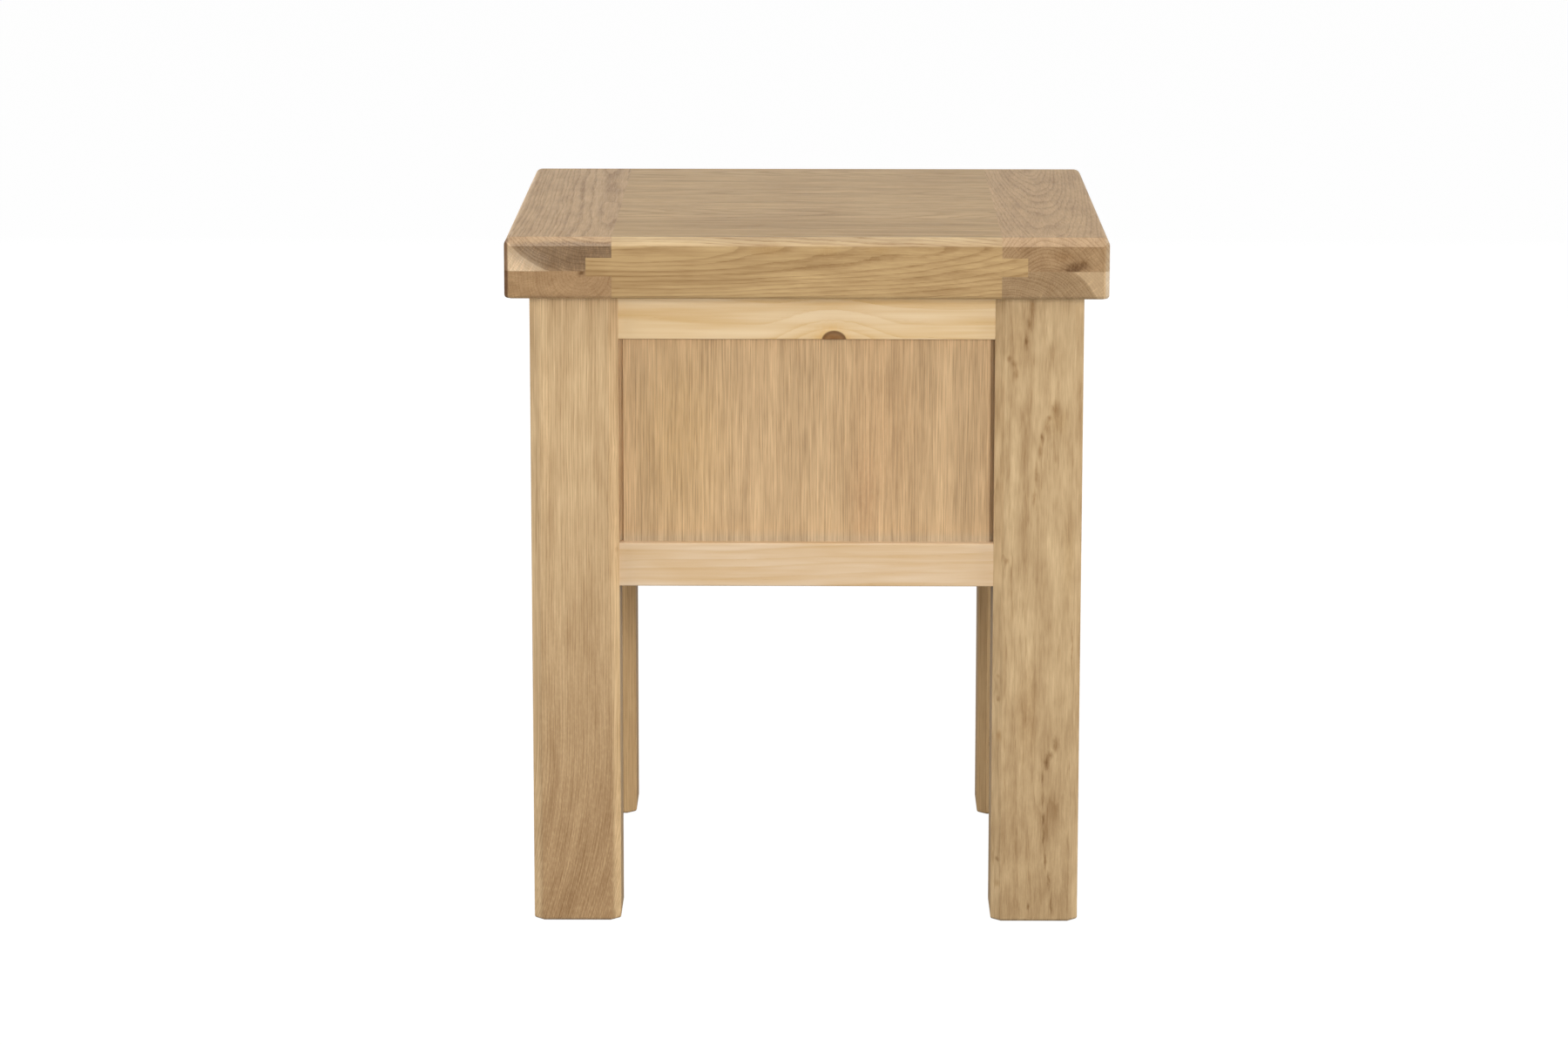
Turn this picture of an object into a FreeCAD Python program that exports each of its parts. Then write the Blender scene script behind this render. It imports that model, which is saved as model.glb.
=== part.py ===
import FreeCAD, Part
import os

# A solid oak side table with one drawer. The table stands on Z = 0 with its centre on
# the Z axis. The drawer opens towards -Y, so +Y is the back. Left and right are those of
# a person who faces the drawer, so the right side is +X. All lengths are millimetres.

Vector = FreeCAD.Vector

# Overall size
TABLE_HEIGHT = 550.0
TOP_WIDTH = 468.0
TOP_DEPTH = 450.0
TOP_THICKNESS = 47.7
TOP_SIDE_OVERHANG = 18.0
TOP_FRONT_OVERHANG = 19.0

# Table top: planks that run left to right, held between two cross-grain ends
TOP_PLANK_COUNT = 4
TOP_CORNER_CHAMFER = 4.5
TOP_EDGE_CHAMFER = 6.5
TOP_END_ROUND = 6.5
TOP_LOWER_ROUND = 3.0
TOP_END_WIDTH = 83.2
TOP_TONGUE_LENGTH = 20.0
TOP_TONGUE_THICKNESS = 14.4
TOP_TONGUE_ABOVE_UNDERSIDE = 17.7
TOP_END_LOWER_LAYER = 21.7

# Legs
LEG_WIDTH = 69.0
LEG_EDGE_CHAMFER = 7.5
LEG_FOOT_ROUND = 2.5

# Rails that join the legs
RAIL_SETBACK = 8.0
RAIL_THICKNESS = 22.0
RAIL_EDGE_ROUND = 1.0
FRONT_RAIL_THICKNESS = 40.0
TOP_RAIL_HEIGHT = 35.5
BOTTOM_RAIL_HEIGHT = 34.4
BOTTOM_RAIL_LEVEL = 270.3
TENON_LENGTH = 25.0
TENON_THICKNESS = 12.0
FRONT_TENON_THICKNESS = 20.0
TENON_SHOULDER = 7.0
MORTISE_SPARE_DEPTH = 1.0

# Panels in the back and the sides
PANEL_SETBACK = 8.0
PANEL_THICKNESS = 9.5
PANEL_TONGUE_THICKNESS = 4.5
PANEL_TONGUE_DEPTH = 6.0
PANEL_GROOVE_DEPTH = 7.0
PANEL_SHADOW_GAP = 3.2

# Drawer
DRAWER_GAP = 1.5
DRAWER_FRONT_RECESS = 3.0
DRAWER_FRONT_THICKNESS = 20.0
DRAWER_FRONT_ROUND = 2.0
DRAWER_WALL = 12.0
DRAWER_WALL_ROUND = 2.0
DRAWER_SIDE_DROP = 2.0
DRAWER_LENGTH = 345.0
DRAWER_BOTTOM_THICKNESS = 5.0
DRAWER_BOTTOM_LEVEL = 10.0
DRAWER_GROOVE_DEPTH = 6.0
DRAWER_BOTTOM_PLAY = 0.5
DOVETAIL_COUNT = 4
DOVETAIL_LAP = 6.0
DOVETAIL_SHARE = 0.7
DOVETAIL_SLOPE = 1.0 / 6.0

# Knob, turned: points on its outline as (radius, distance out from the drawer front)
KNOB_FOOT = (11.0, 0.0)
KNOB_WAIST = (8.0, 7.0)
KNOB_HEAD_BACK = (14.0, 13.0)
KNOB_RIM = (17.5, 15.5)
KNOB_FACE_EDGE = (16.0, 19.5)
KNOB_CENTRE = (0.0, 24.0)
KNOB_ROOT = (0.0, 0.0)

# Runners, guides and kickers that carry and steer the drawer
SLIDE_CLEARANCE = 0.3
GUIDE_CLEARANCE = 0.5
RUNNER_WIDTH = 26.0
RUNNER_THICKNESS = 18.0
GUIDE_SIZE = 22.0
GUIDE_END_GAP = 2.0
KICKER_DROP = 2.0
STUB_TENON_LENGTH = 8.0
STUB_TENON_MARGIN = 4.0
STUB_TENON_HEIGHT = 8.0
RUNNER_STUB_RISE = 0.8
KICKER_STUB_RISE = 14.0

# Stop blocks
CLOSE_STOP_WIDTH = 40.0
CLOSE_STOP_CENTRE = 80.0
CLOSE_STOP_DEPTH = 14.0
CLOSE_STOP_HEIGHT = 7.0
OPEN_STOP_WIDTH = 44.0
OPEN_STOP_THICKNESS = 15.5
OPEN_STOP_DROP = 10.0
OPEN_STOP_HEIGHT = 42.0

# Wood screws: shank radius, head radius, head height, length under the head's top
TOP_SCREW = (2.0, 4.0, 3.0, 45.0)
GUIDE_SCREW = (2.0, 4.0, 2.4, 34.0)
BOTTOM_SCREW = (1.5, 3.2, 2.0, 18.0)
STOP_SCREW = (1.75, 3.6, 2.2, 30.0)
KNOB_SCREW = (2.0, 4.0, 2.6, 37.6)
SCREW_TIP_LENGTH = 4.0
SCREW_HOLE_CLEARANCE = 0.1
SCREW_HOLE_SPARE_DEPTH = 1.0
CROSS_SLOT_WIDTH = 1.0
CROSS_SLOT_DEPTH = 1.2
CROSS_SLOT_SHARE = 0.6
TOP_SCREW_COUNTERBORE = 12.0
TOP_SCREW_COUNTERBORE_RADIUS = 5.0
TOP_SCREW_PLACES = (-140.0, -56.0, 56.0, 140.0)
GUIDE_SCREW_PLACES = (-100.0, 0.0, 100.0)
BOTTOM_SCREW_PLACES = (-90.0, 0.0, 90.0)
STOP_SCREW_PLACES = (-12.0, 12.0)

# How far apart two values may be and still count as the same place or direction
SAME_PLACE = 0.01

# Levels and distances worked out from the sizes above
UNDERSIDE = TABLE_HEIGHT - TOP_THICKNESS
HALF_TOP_WIDTH = TOP_WIDTH / 2
HALF_TOP_DEPTH = TOP_DEPTH / 2
LEG_OUTER_X = HALF_TOP_WIDTH - TOP_SIDE_OVERHANG
LEG_OUTER_Y = HALF_TOP_DEPTH - TOP_FRONT_OVERHANG
LEG_INNER_X = LEG_OUTER_X - LEG_WIDTH
LEG_INNER_Y = LEG_OUTER_Y - LEG_WIDTH
RAIL_FACE_X = LEG_OUTER_X - RAIL_SETBACK
RAIL_FACE_Y = LEG_OUTER_Y - RAIL_SETBACK
SIDE_RAIL_BACK_X = RAIL_FACE_X - RAIL_THICKNESS
BACK_RAIL_BACK_Y = RAIL_FACE_Y - RAIL_THICKNESS
FRONT_RAIL_BACK_Y = -RAIL_FACE_Y + FRONT_RAIL_THICKNESS
TOP_RAIL = (UNDERSIDE - TOP_RAIL_HEIGHT, UNDERSIDE)
BOTTOM_RAIL = (BOTTOM_RAIL_LEVEL, BOTTOM_RAIL_LEVEL + BOTTOM_RAIL_HEIGHT)
PANEL_BACK = -PANEL_SETBACK - PANEL_THICKNESS
PANEL_TONGUE = (PANEL_BACK, PANEL_BACK + PANEL_TONGUE_THICKNESS)

DRAWER_HALF_WIDTH = LEG_INNER_X - DRAWER_GAP
DRAWER_INNER_X = DRAWER_HALF_WIDTH - DRAWER_WALL
DRAWER_LOW = BOTTOM_RAIL[1] + DRAWER_GAP
DRAWER_FRONT_HIGH = TOP_RAIL[0] - DRAWER_GAP
DRAWER_HIGH = DRAWER_FRONT_HIGH - DRAWER_SIDE_DROP
DRAWER_FACE_Y = -RAIL_FACE_Y + DRAWER_FRONT_RECESS
DRAWER_FRONT_BACK_Y = DRAWER_FACE_Y + DRAWER_FRONT_THICKNESS
DRAWER_END_Y = DRAWER_FACE_Y + DRAWER_LENGTH
DRAWER_BACK_INNER_Y = DRAWER_END_Y - DRAWER_WALL
DRAWER_FLOOR = (
    DRAWER_LOW + DRAWER_BOTTOM_LEVEL,
    DRAWER_LOW + DRAWER_BOTTOM_LEVEL + DRAWER_BOTTOM_THICKNESS,
)
KNOB_HEIGHT = (DRAWER_LOW + DRAWER_FRONT_HIGH) / 2

RUNNER_HIGH = DRAWER_LOW - SLIDE_CLEARANCE
RUNNER_LOW = RUNNER_HIGH - RUNNER_THICKNESS
RUNNER_INNER_X = LEG_INNER_X - RUNNER_WIDTH
GUIDE_INNER_X = DRAWER_HALF_WIDTH + GUIDE_CLEARANCE
KICKER_LOW = TOP_RAIL[0] - KICKER_DROP
KICKER_CENTRE_X = (RUNNER_INNER_X + LEG_INNER_X) / 2
GUIDE_CENTRE_X = GUIDE_INNER_X + GUIDE_SIZE / 2
OPEN_STOP_BACK_Y = FRONT_RAIL_BACK_Y + OPEN_STOP_THICKNESS
DRAWER_TRAVEL = DRAWER_BACK_INNER_Y - OPEN_STOP_BACK_Y - GUIDE_CLEARANCE

DOWN = Vector(0, 0, -1)
UP = Vector(0, 0, 1)
FORWARD = Vector(0, -1, 0)


# Small helpers

def box(x, y, z):
    """A box from its (low, high) range along each axis."""
    return Part.makeBox(x[1] - x[0], y[1] - y[0], z[1] - z[0], Vector(x[0], y[0], z[0]))


def mirrored(shape):
    """The same piece for the left side of the table."""
    return shape.mirror(Vector(0, 0, 0), Vector(1, 0, 0))


def turned(shape, angle, move):
    """A piece turned about the Z axis and then moved."""
    placed = shape.copy()
    placed.rotate(Vector(0, 0, 0), UP, angle)
    placed.translate(move)
    return placed


def joined(shapes):
    """Overlapping or touching shapes as one solid."""
    return shapes[0].fuse(shapes[1:]).removeSplitter()


def without(shape, tools):
    """A piece with every tool cut away from it."""
    return shape.cut(Part.makeCompound(tools))


def straight_edges(shape, wanted):
    """The piece's straight edges that wanted(middle, direction) picks."""
    edges = []
    for edge in shape.Edges:
        ends = [vertex.Point for vertex in edge.Vertexes]
        if len(ends) < 2:
            continue
        middle = edge.valueAt((edge.FirstParameter + edge.LastParameter) / 2)
        direction = (ends[1] - ends[0]).normalize()
        if wanted(middle, direction):
            edges.append(edge)
    return edges


def rounded(shape, radius, wanted):
    return shape.makeFillet(radius, straight_edges(shape, wanted))


def chamfered(shape, size, wanted):
    return shape.makeChamfer(size, straight_edges(shape, wanted))


def is_upright(middle, direction):
    return near(abs(direction.z), 1)


def near(value, target):
    return abs(value - target) < SAME_PLACE


def symmetric(half):
    return (-half, half)


# Screws, made with the head's top at the origin and the point towards -Z

def cross_slot(head_radius):
    half_length = head_radius * CROSS_SLOT_SHARE
    half_width = CROSS_SLOT_WIDTH / 2
    depth = (-CROSS_SLOT_DEPTH, 0)
    arms = [
        box(symmetric(half_length), symmetric(half_width), depth),
        box(symmetric(half_width), symmetric(half_length), depth),
    ]
    return joined(arms)


def shank(radius, head_height, length):
    straight_end = length - SCREW_TIP_LENGTH
    body = Part.makeCylinder(radius, straight_end - head_height, Vector(0, 0, -head_height), DOWN)
    tip = Part.makeCone(radius, 0, SCREW_TIP_LENGTH, Vector(0, 0, -straight_end), DOWN)
    return [body, tip]


def countersunk_screw(size):
    radius, head_radius, head_height, length = size
    head = Part.makeCone(head_radius, radius, head_height, Vector(0, 0, 0), DOWN)
    return joined([head] + shank(radius, head_height, length)).cut(cross_slot(head_radius))


def flat_head_screw(size):
    radius, head_radius, head_height, length = size
    head = Part.makeCylinder(head_radius, head_height, Vector(0, 0, 0), DOWN)
    return joined([head] + shank(radius, head_height, length)).cut(cross_slot(head_radius))


def shank_hole(size):
    radius, _, head_height, length = size
    depth = length - head_height + SCREW_HOLE_SPARE_DEPTH
    return Part.makeCylinder(radius + SCREW_HOLE_CLEARANCE, depth, Vector(0, 0, -head_height), DOWN)


def countersunk_hole(size):
    radius, head_radius, head_height, _ = size
    sink = Part.makeCone(
        head_radius + SCREW_HOLE_CLEARANCE,
        radius + SCREW_HOLE_CLEARANCE,
        head_height,
        Vector(0, 0, 0),
        DOWN,
    )
    return joined([sink, shank_hole(size)])


def aimed(shape, direction, place):
    """A screw or its hole, turned so that it points along direction, with its head at place."""
    placed = shape.copy()
    placed.Placement = FreeCAD.Placement(place, FreeCAD.Rotation(DOWN, direction))
    return placed


# Walls. A wall's own frame has X along the wall, Y outwards from the rails' faces and Z up.

def rail(span, thickness, tenon_thickness, levels):
    """A plain rail with a tenon at each end."""
    body = box(symmetric(span / 2), (-thickness, 0), levels)

    def is_long_outer_edge(middle, direction):
        return near(abs(direction.x), 1) and near(middle.y, 0)

    body = rounded(body, RAIL_EDGE_ROUND, is_long_outer_edge)
    tenon = tenon_bar(span, thickness, tenon_thickness, levels, TENON_LENGTH)
    return joined([body, tenon])


def tenon_bar(span, thickness, tenon_thickness, levels, reach):
    """A bar through the whole rail, whose ends are the tenons or, with more reach, mortises."""
    middle = -thickness / 2
    depth = (middle - tenon_thickness / 2, middle + tenon_thickness / 2)
    height = (levels[0] + TENON_SHOULDER, levels[1] - TENON_SHOULDER)
    return box(symmetric(span / 2 + reach), depth, height)


def panel_groove(span):
    """The space that the panel's tongue needs in the rails and the legs."""
    return box(
        symmetric(span / 2 + PANEL_GROOVE_DEPTH),
        PANEL_TONGUE,
        (BOTTOM_RAIL[1] - PANEL_GROOVE_DEPTH, TOP_RAIL[0] + PANEL_GROOVE_DEPTH),
    )


def panel(span):
    """A panel whose upright edges stop short of the legs and leave a shadow gap."""
    board = box(
        symmetric(span / 2 - PANEL_SHADOW_GAP),
        (PANEL_BACK, -PANEL_SETBACK),
        (BOTTOM_RAIL[1], TOP_RAIL[0]),
    )
    tongue = box(
        symmetric(span / 2 + PANEL_TONGUE_DEPTH),
        PANEL_TONGUE,
        (BOTTOM_RAIL[1] - PANEL_TONGUE_DEPTH, TOP_RAIL[0] + PANEL_TONGUE_DEPTH),
    )
    return joined([board, tongue])


def wall_places():
    """Each wall's name with its span between the legs, its turn and its place."""
    return {
        "back": (2 * LEG_INNER_X, 0, Vector(0, RAIL_FACE_Y, 0)),
        "right": (2 * LEG_INNER_Y, -90, Vector(RAIL_FACE_X, 0, 0)),
        "left": (2 * LEG_INNER_Y, 90, Vector(-RAIL_FACE_X, 0, 0)),
        "front": (2 * LEG_INNER_X, 180, Vector(0, -RAIL_FACE_Y, 0)),
    }


def wall_rail_sizes(wall):
    if wall == "front":
        return FRONT_RAIL_THICKNESS, FRONT_TENON_THICKNESS
    return RAIL_THICKNESS, TENON_THICKNESS


def make_walls():
    """The rails and panels between the legs."""
    pieces = {}
    for wall, (span, angle, move) in wall_places().items():
        thickness, tenon_thickness = wall_rail_sizes(wall)
        grooves = [] if wall == "front" else [panel_groove(span)]
        for name, levels in (("top_rail", TOP_RAIL), ("bottom_rail", BOTTOM_RAIL)):
            piece = rail(span, thickness, tenon_thickness, levels)
            for groove in grooves:
                piece = piece.cut(groove)
            pieces[f"{wall}_{name}"] = turned(piece, angle, move)
        if grooves:
            pieces[f"{wall}_panel"] = turned(panel(span), angle, move)
    return pieces


def leg_hollows():
    """Every mortise and groove that the legs need, as solids to cut away."""
    hollows = []
    for wall, (span, angle, move) in wall_places().items():
        thickness, tenon_thickness = wall_rail_sizes(wall)
        reach = TENON_LENGTH + MORTISE_SPARE_DEPTH
        for levels in (TOP_RAIL, BOTTOM_RAIL):
            bar = tenon_bar(span, thickness, tenon_thickness, levels, reach)
            hollows.append(turned(bar, angle, move))
        if wall != "front":
            hollows.append(turned(panel_groove(span), angle, move))
    return hollows


# Legs

def leg_blank():
    """A square leg in the back right corner, with chamfered edges and a rounded foot."""
    blank = box((LEG_INNER_X, LEG_OUTER_X), (LEG_INNER_Y, LEG_OUTER_Y), (0, UNDERSIDE))
    blank = chamfered(blank, LEG_EDGE_CHAMFER, is_upright)
    foot_edges = [edge for edge in blank.Edges if near(edge.BoundBox.ZMax, 0)]
    return blank.makeFillet(LEG_FOOT_ROUND, foot_edges)


def make_legs():
    hollows = leg_hollows()
    corners = {
        "leg_back_right": (0, 0),
        "leg_back_left": (-2 * LEG_INNER_X - LEG_WIDTH, 0),
        "leg_front_right": (0, -2 * LEG_INNER_Y - LEG_WIDTH),
        "leg_front_left": (-2 * LEG_INNER_X - LEG_WIDTH, -2 * LEG_INNER_Y - LEG_WIDTH),
    }
    pieces = {}
    for name, (move_x, move_y) in corners.items():
        blank = leg_blank()
        blank.translate(Vector(move_x, move_y, 0))
        pieces[name] = without(blank, hollows)
    return pieces


# Table top

def top_slab():
    """The whole top before it is divided into planks and ends. Its long upper edges are
    chamfered, and its ends are rounded over."""

    def is_long_upper_edge(middle, direction):
        return near(middle.z, TABLE_HEIGHT) and near(abs(direction.x), 1)

    def is_upper_end_edge(middle, direction):
        return near(middle.z, TABLE_HEIGHT) and near(abs(direction.y), 1)

    slab = box(symmetric(HALF_TOP_WIDTH), symmetric(HALF_TOP_DEPTH), (UNDERSIDE, TABLE_HEIGHT))
    slab = chamfered(slab, TOP_CORNER_CHAMFER, is_upright)
    slab = chamfered(slab, TOP_EDGE_CHAMFER, is_long_upper_edge)
    slab = rounded(slab, TOP_END_ROUND, is_upper_end_edge)
    lower = [edge for edge in slab.Edges if near(edge.BoundBox.ZMax, UNDERSIDE)]
    return slab.makeFillet(TOP_LOWER_ROUND, lower)


def top_tongue_levels():
    low = UNDERSIDE + TOP_TONGUE_ABOVE_UNDERSIDE
    return (low, low + TOP_TONGUE_THICKNESS)


def make_top_planks(slab):
    """The middle planks, whose ends carry a tongue that runs out to the table's edges."""
    field = HALF_TOP_WIDTH - TOP_END_WIDTH
    plank_width = TOP_DEPTH / TOP_PLANK_COUNT
    pieces = {}
    for number in range(TOP_PLANK_COUNT):
        low = -HALF_TOP_DEPTH + number * plank_width
        width = (low, low + plank_width)
        board = box(symmetric(field), width, (UNDERSIDE, TABLE_HEIGHT))
        tongue = box(symmetric(field + TOP_TONGUE_LENGTH), width, top_tongue_levels())
        pieces[f"top_plank_{number + 1}"] = joined([board, tongue]).common(slab)
    return pieces


def make_top_ends(slab):
    """The cross-grain ends, each glued up from an upper and a lower layer."""
    field = HALF_TOP_WIDTH - TOP_END_WIDTH
    joint_level = UNDERSIDE + TOP_END_LOWER_LAYER
    groove = box(
        symmetric(field + TOP_TONGUE_LENGTH), symmetric(HALF_TOP_DEPTH), top_tongue_levels()
    )
    layers = {"upper": (joint_level, TABLE_HEIGHT), "lower": (UNDERSIDE, joint_level)}
    pieces = {}
    for layer, levels in layers.items():
        block = box((field, HALF_TOP_WIDTH), symmetric(HALF_TOP_DEPTH), levels)
        right = block.common(slab).cut(groove)
        pieces[f"top_end_right_{layer}"] = right
        pieces[f"top_end_left_{layer}"] = mirrored(right)
    return pieces


# Runners, guides, kickers and stops

def stub_tenons(level):
    """A bar whose two ends are the stub tenons of a runner or kicker on the right."""
    return box(
        (RUNNER_INNER_X + STUB_TENON_MARGIN, LEG_INNER_X - STUB_TENON_MARGIN),
        (FRONT_RAIL_BACK_Y - STUB_TENON_LENGTH, BACK_RAIL_BACK_Y + STUB_TENON_LENGTH),
        (level, level + STUB_TENON_HEIGHT),
    )


def runner_stubs():
    return stub_tenons(RUNNER_LOW + RUNNER_STUB_RISE)


def kicker_stubs():
    return stub_tenons(KICKER_LOW + KICKER_STUB_RISE)


def runner():
    """A board notched round the legs, whose inner edge carries the drawer's side."""
    levels = (RUNNER_LOW, RUNNER_HIGH)
    rails = (FRONT_RAIL_BACK_Y, BACK_RAIL_BACK_Y)
    strip = box((RUNNER_INNER_X, LEG_INNER_X), rails, levels)
    between_legs = box((RUNNER_INNER_X, SIDE_RAIL_BACK_X), symmetric(LEG_INNER_Y), levels)
    return joined([strip, between_legs, runner_stubs()])


def guide():
    """A batten on the runner that keeps the drawer straight."""
    return box(
        (GUIDE_INNER_X, GUIDE_INNER_X + GUIDE_SIZE),
        symmetric(LEG_INNER_Y - GUIDE_END_GAP),
        (RUNNER_HIGH, RUNNER_HIGH + GUIDE_SIZE),
    )


def kicker():
    """A batten under the top that keeps the open drawer from tipping and holds the top down."""
    rails = (FRONT_RAIL_BACK_Y, BACK_RAIL_BACK_Y)
    batten = box((RUNNER_INNER_X, LEG_INNER_X), rails, (KICKER_LOW, UNDERSIDE))
    return joined([batten, kicker_stubs()])


def closing_stop():
    """A block on the lower front rail that the drawer front meets when it is shut."""
    half = CLOSE_STOP_WIDTH / 2
    front = DRAWER_FRONT_BACK_Y + SLIDE_CLEARANCE
    return box(
        (CLOSE_STOP_CENTRE - half, CLOSE_STOP_CENTRE + half),
        (front, front + CLOSE_STOP_DEPTH),
        (BOTTOM_RAIL[1], BOTTOM_RAIL[1] + CLOSE_STOP_HEIGHT),
    )


def opening_stop():
    """A block behind the upper front rail that the drawer's back meets when it is open."""
    low = TOP_RAIL[0] - OPEN_STOP_DROP
    return box(
        symmetric(OPEN_STOP_WIDTH / 2),
        (FRONT_RAIL_BACK_Y, OPEN_STOP_BACK_Y),
        (low, low + OPEN_STOP_HEIGHT),
    )


def make_drawer_supports():
    pieces = {"opening_stop": opening_stop()}
    pairs = {"runner": runner, "guide": guide, "kicker": kicker, "closing_stop": closing_stop}
    for name, make in pairs.items():
        right = make()
        pieces[f"{name}_right"] = right
        pieces[f"{name}_left"] = mirrored(right)
    return pieces


# Drawer

def dovetails(levels, shoulder, end):
    """Tails on the drawer's right side, each wider at its end than at its shoulder."""
    pitch = (levels[1] - levels[0]) / DOVETAIL_COUNT
    wide = pitch * DOVETAIL_SHARE / 2
    narrow = wide - abs(end - shoulder) * DOVETAIL_SLOPE
    tails = []
    for number in range(DOVETAIL_COUNT):
        centre = levels[0] + (number + 0.5) * pitch
        corners = [
            Vector(DRAWER_INNER_X, shoulder, centre - narrow),
            Vector(DRAWER_INNER_X, end, centre - wide),
            Vector(DRAWER_INNER_X, end, centre + wide),
            Vector(DRAWER_INNER_X, shoulder, centre + narrow),
        ]
        outline = Part.Face(Part.makePolygon(corners + corners[:1]))
        tails.append(outline.extrude(Vector(DRAWER_WALL, 0, 0)))
    return tails


def drawer_floor_groove():
    reach = DRAWER_INNER_X + DRAWER_GROOVE_DEPTH
    front = DRAWER_FRONT_BACK_Y - DRAWER_GROOVE_DEPTH
    return box(symmetric(reach), (front, DRAWER_END_Y), DRAWER_FLOOR)


def drawer_back():
    """The back sits on the drawer's floor, with pins between the sides' tails."""
    levels = (DRAWER_FLOOR[1], DRAWER_HIGH)
    depth = (DRAWER_BACK_INNER_Y, DRAWER_END_Y)
    board = box(symmetric(DRAWER_HALF_WIDTH), depth, levels)
    tails = dovetails(levels, DRAWER_BACK_INNER_Y, DRAWER_END_Y)
    tails += [mirrored(tail) for tail in tails]
    return without(board, tails)


def drawer_side(back):
    """The right side, tailed into the front and round the pins of the back."""
    levels = (DRAWER_LOW, DRAWER_HIGH)
    front_tail_end = DRAWER_FACE_Y + DOVETAIL_LAP
    board = box(
        (DRAWER_INNER_X, DRAWER_HALF_WIDTH), (DRAWER_FRONT_BACK_Y, DRAWER_END_Y), levels
    )
    tails = dovetails(levels, DRAWER_FRONT_BACK_Y, front_tail_end)
    return without(joined([board] + tails), [back, drawer_floor_groove()])


def round_topped(wall):
    """A drawer wall with its long upper edges rounded."""
    shortest = 2 * DRAWER_WALL
    top_edges = [edge for edge in wall.Edges if near(edge.BoundBox.ZMin, DRAWER_HIGH)]
    long_edges = [edge for edge in top_edges if edge.BoundBox.DiagonalLength > shortest]
    return wall.makeFillet(DRAWER_WALL_ROUND, long_edges)


def drawer_front(sides):
    """The front, with its face edges rounded and blind sockets for the sides' tails."""
    board = box(
        symmetric(DRAWER_HALF_WIDTH),
        (DRAWER_FACE_Y, DRAWER_FRONT_BACK_Y),
        (DRAWER_LOW, DRAWER_FRONT_HIGH),
    )

    def is_face_edge(middle, direction):
        return near(middle.y, DRAWER_FACE_Y)

    board = rounded(board, DRAWER_FRONT_ROUND, is_face_edge)
    return without(board, sides + [drawer_floor_groove()])


def drawer_bottom():
    reach = DRAWER_INNER_X + DRAWER_GROOVE_DEPTH - DRAWER_BOTTOM_PLAY
    front = DRAWER_FRONT_BACK_Y - DRAWER_GROOVE_DEPTH + DRAWER_BOTTOM_PLAY
    return box(symmetric(reach), (front, DRAWER_END_Y - DRAWER_BOTTOM_PLAY), DRAWER_FLOOR)


def dome_distance(radius):
    """How far the knob's ball-shaped face stands out at a distance from its axis."""
    edge_radius, edge_distance = KNOB_FACE_EDGE
    rise = KNOB_CENTRE[1] - edge_distance
    ball_radius = (edge_radius ** 2 + rise ** 2) / (2 * rise)
    return KNOB_CENTRE[1] - ball_radius + (ball_radius ** 2 - radius ** 2) ** 0.5


def knob():
    """A turned knob: a flared foot, a waist, and a round head with a domed face."""

    def at(outline_point):
        radius, out = outline_point
        return Vector(radius, DRAWER_FACE_Y - out, KNOB_HEIGHT)

    def arc(start, middle, end):
        return Part.Arc(at(start), at(middle), at(end)).toShape()

    dome = (KNOB_FACE_EDGE[0] / 2, dome_distance(KNOB_FACE_EDGE[0] / 2))
    edges = [
        Part.LineSegment(at(KNOB_ROOT), at(KNOB_FOOT)).toShape(),
        arc(KNOB_FOOT, KNOB_WAIST, KNOB_HEAD_BACK),
        arc(KNOB_HEAD_BACK, KNOB_RIM, KNOB_FACE_EDGE),
        arc(KNOB_FACE_EDGE, dome, KNOB_CENTRE),
        Part.LineSegment(at(KNOB_CENTRE), at(KNOB_ROOT)).toShape(),
    ]
    outline = Part.Face(Part.Wire(edges))
    return outline.revolve(Vector(0, 0, KNOB_HEIGHT), FORWARD, 360)


def make_drawer():
    back = drawer_back()
    right = drawer_side(back)
    left = mirrored(right)
    return {
        "drawer_front": drawer_front([right, left]),
        "drawer_side_right": round_topped(right),
        "drawer_side_left": round_topped(left),
        "drawer_back": round_topped(back),
        "drawer_bottom": drawer_bottom(),
        "drawer_knob": knob(),
    }


# Screws in place

def add_screws(pieces, name, screws, holes, holders):
    """Adds a group of screws, and cuts their holes in the pieces that they hold."""
    pieces[name] = Part.makeCompound(screws)
    for holder in holders:
        pieces[holder] = without(pieces[holder], holes)


def add_top_screws(pieces):
    """Screws that come up through counterbores in the kickers and hold the top down."""
    seat = KICKER_LOW + TOP_SCREW_COUNTERBORE
    counterbore = Part.makeCylinder(
        TOP_SCREW_COUNTERBORE_RADIUS, TOP_SCREW_COUNTERBORE, Vector(0, 0, 0), UP
    )
    _, _, head_height, _ = TOP_SCREW
    screws = []
    holes = []
    for x in symmetric(KICKER_CENTRE_X):
        for y in TOP_SCREW_PLACES:
            place = Vector(x, y, seat - head_height)
            screws.append(aimed(flat_head_screw(TOP_SCREW), UP, place))
            holes.append(aimed(shank_hole(TOP_SCREW), UP, place))
            well = counterbore.copy()
            well.translate(Vector(x, y, KICKER_LOW))
            holes.append(well)
    planks = [f"top_plank_{number + 1}" for number in range(TOP_PLANK_COUNT)]
    add_screws(pieces, "top_screws", screws, holes, ["kicker_left", "kicker_right"] + planks)


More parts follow.
